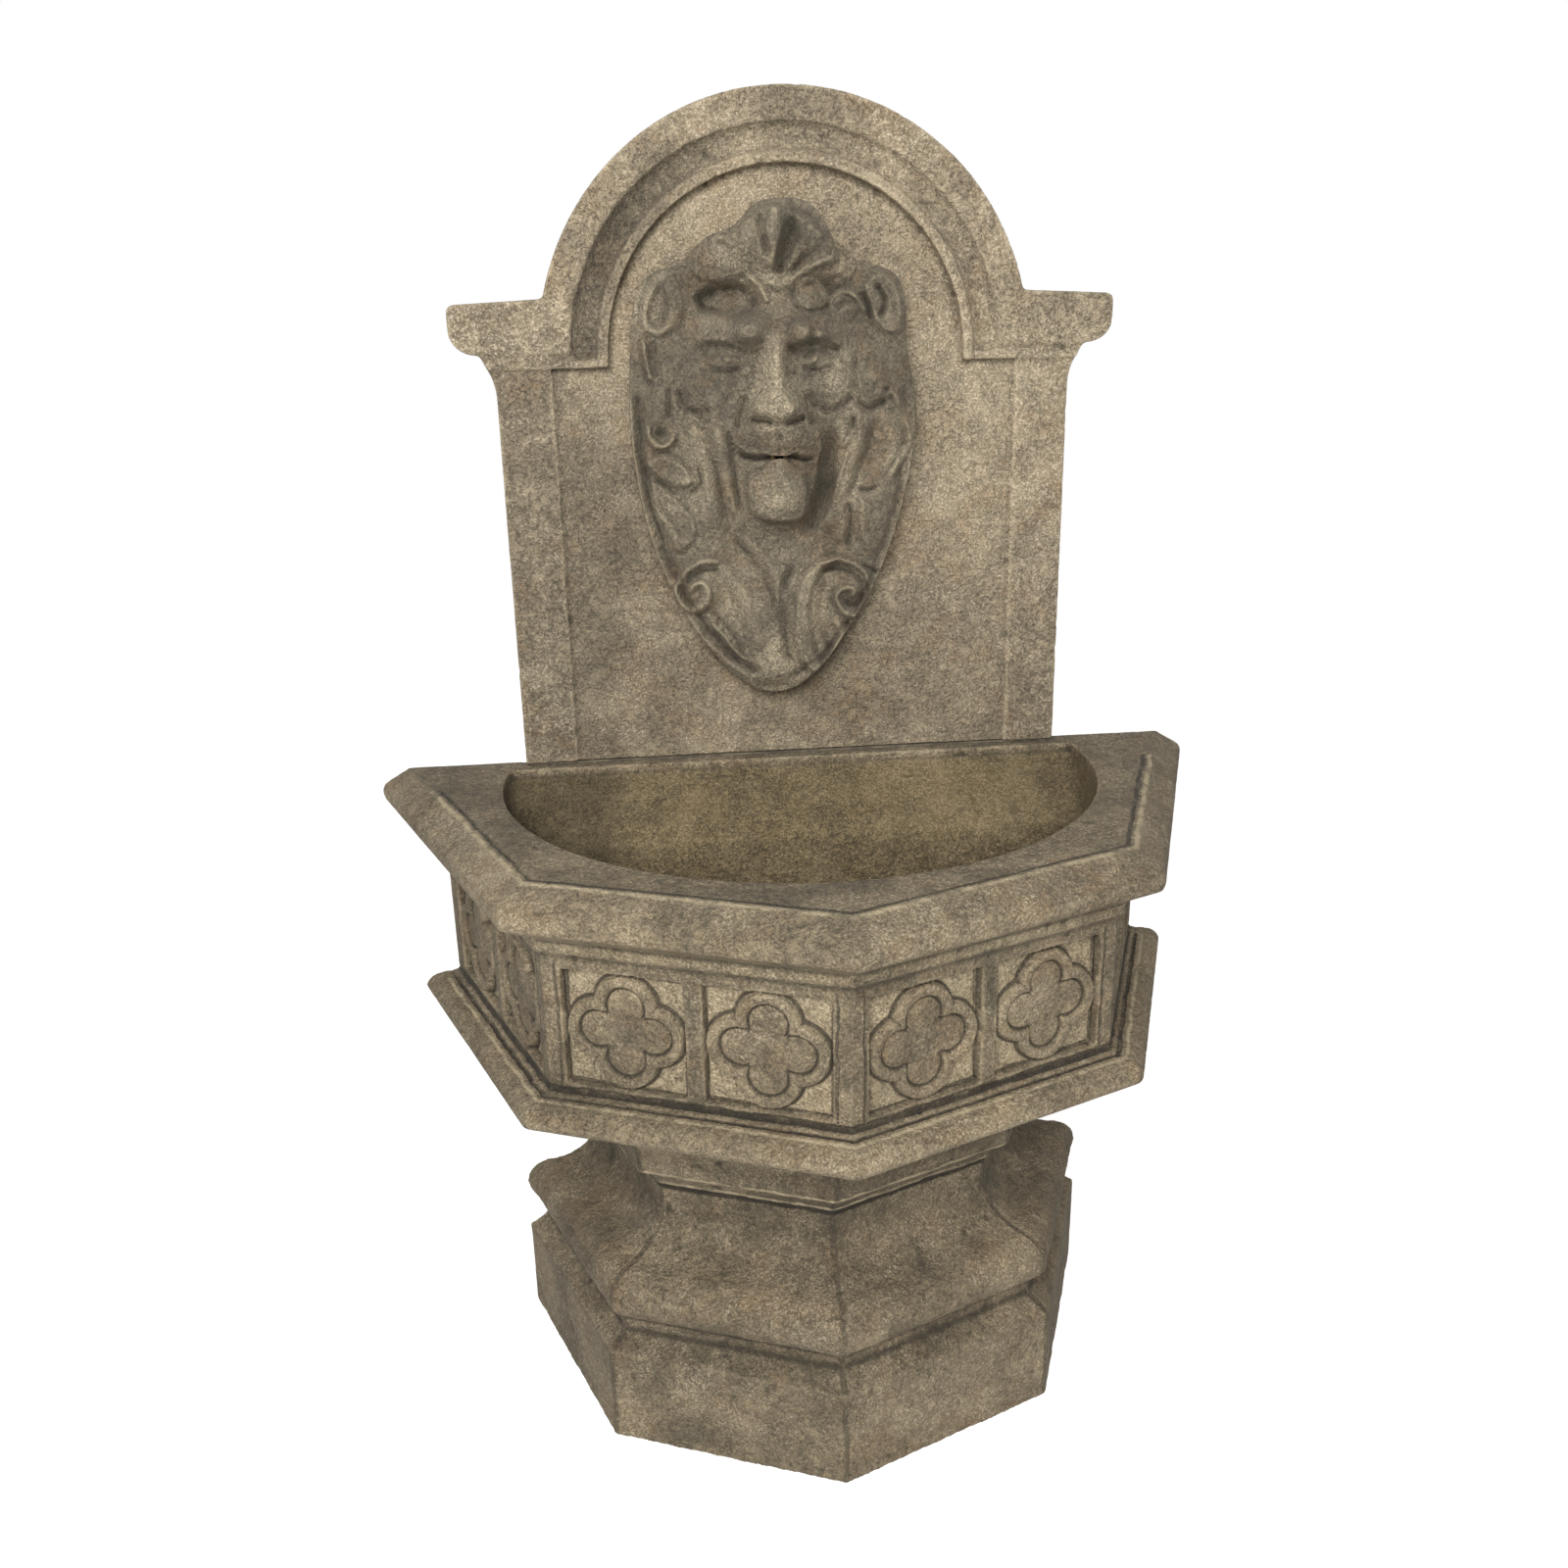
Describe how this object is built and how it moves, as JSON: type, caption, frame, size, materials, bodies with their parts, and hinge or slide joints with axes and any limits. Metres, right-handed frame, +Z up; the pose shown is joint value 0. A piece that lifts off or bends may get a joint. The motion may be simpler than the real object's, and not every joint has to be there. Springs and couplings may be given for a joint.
{
  "type": "garden wall fountain",
  "caption": "Cast-stone wall fountain: arched back panel with a lion mask spout, half-octagonal basin with a quatrefoil band, and a moulded pedestal.",
  "frame": {"origin": "on the floor, under the middle of the part's outer box", "axes": "+X to the right seen from the front, +Y towards the wall, +Z up"},
  "size_m": [0.9262, 0.517, 1.3539],
  "materials": {
    "cast_stone": "weathered, matt and slightly pitted",
    "cast_stone_mask": "weathered, darker patina in the hollows",
    "mortar": "rough, dark with damp",
    "stainless": "plain",
    "copper": "dull copper",
    "brass": "tarnished",
    "rubber": "matt black",
    "clear_hose": "smoke-grey flexible vinyl",
    "pump_black": "fine-textured black",
    "lamination_steel": "laminated",
    "copper_wire": "enamelled",
    "resin": "cast epoxy",
    "shaft_ceramic": "polished ceramic",
    "magnet": "sintered ferrite",
    "impeller_white": "moulded",
    "strainer_grey": "moulded",
    "dial_grey": "moulded"
  },
  "bodies": {
    "fountain": {"back_panel": "cast_stone", "basin": "cast_stone", "basin_bedding": "mortar", "basin_dowels": "stainless", "bulkhead_fitting": "brass", "bulkhead_nut": "brass", "bulkhead_washers": "rubber", "cord_bung": "rubber", "cord_gland": "rubber", "drain_bushing": "brass", "drain_nut": "brass", "hanger_plates": "stainless", "hanger_screws": "stainless", "hose_clamps": "stainless", "lion_mask": "cast_stone_mask", "mask_bedding": "mortar", "mask_dowels": "stainless", "panel_bedding": "mortar", "panel_dowels": "stainless", "pedestal": "cast_stone", "potting_resin": "resin", "pump_hose": "clear_hose", "pump_housing": "pump_black", "riser_nut": "brass", "riser_pipe": "copper", "rotor_shaft": "shaft_ceramic", "shaft_bushes": "rubber", "spout_nozzle": "brass", "stator_coils": "copper_wire", "stator_core": "lamination_steel", "suction_cups": "rubber", "volute_cover": "pump_black", "volute_seal": "rubber"},
    "rotor": {"rotor_magnet": "magnet", "impeller": "impeller_white"},
    "strainer": {"intake_strainer": "strainer_grey"},
    "dial": {"flow_dial": "dial_grey"},
    "stopper": {"drain_stopper": "rubber"}
  },
  "joints": [
    {"name": "impeller_spin", "type": "hinge", "parent": "fountain", "child": "rotor", "pos_m": [-0.015, 0.0555, 0.462], "axis": [1, 0, 0], "continuous": true},
    {"name": "strainer_pull", "type": "slide", "parent": "fountain", "child": "strainer", "axis": [-1, 0, 0], "range_m": [0, 0.03]},
    {"name": "flow_dial_turn", "type": "hinge", "parent": "strainer", "child": "dial", "pos_m": [-0.048, 0.0555, 0.462], "axis": [1, 0, 0], "range_deg": [0, 90]},
    {"name": "stopper_lift", "type": "slide", "parent": "fountain", "child": "stopper", "axis": [0, 0, 1], "range_m": [0, 0.06]}
  ]
}
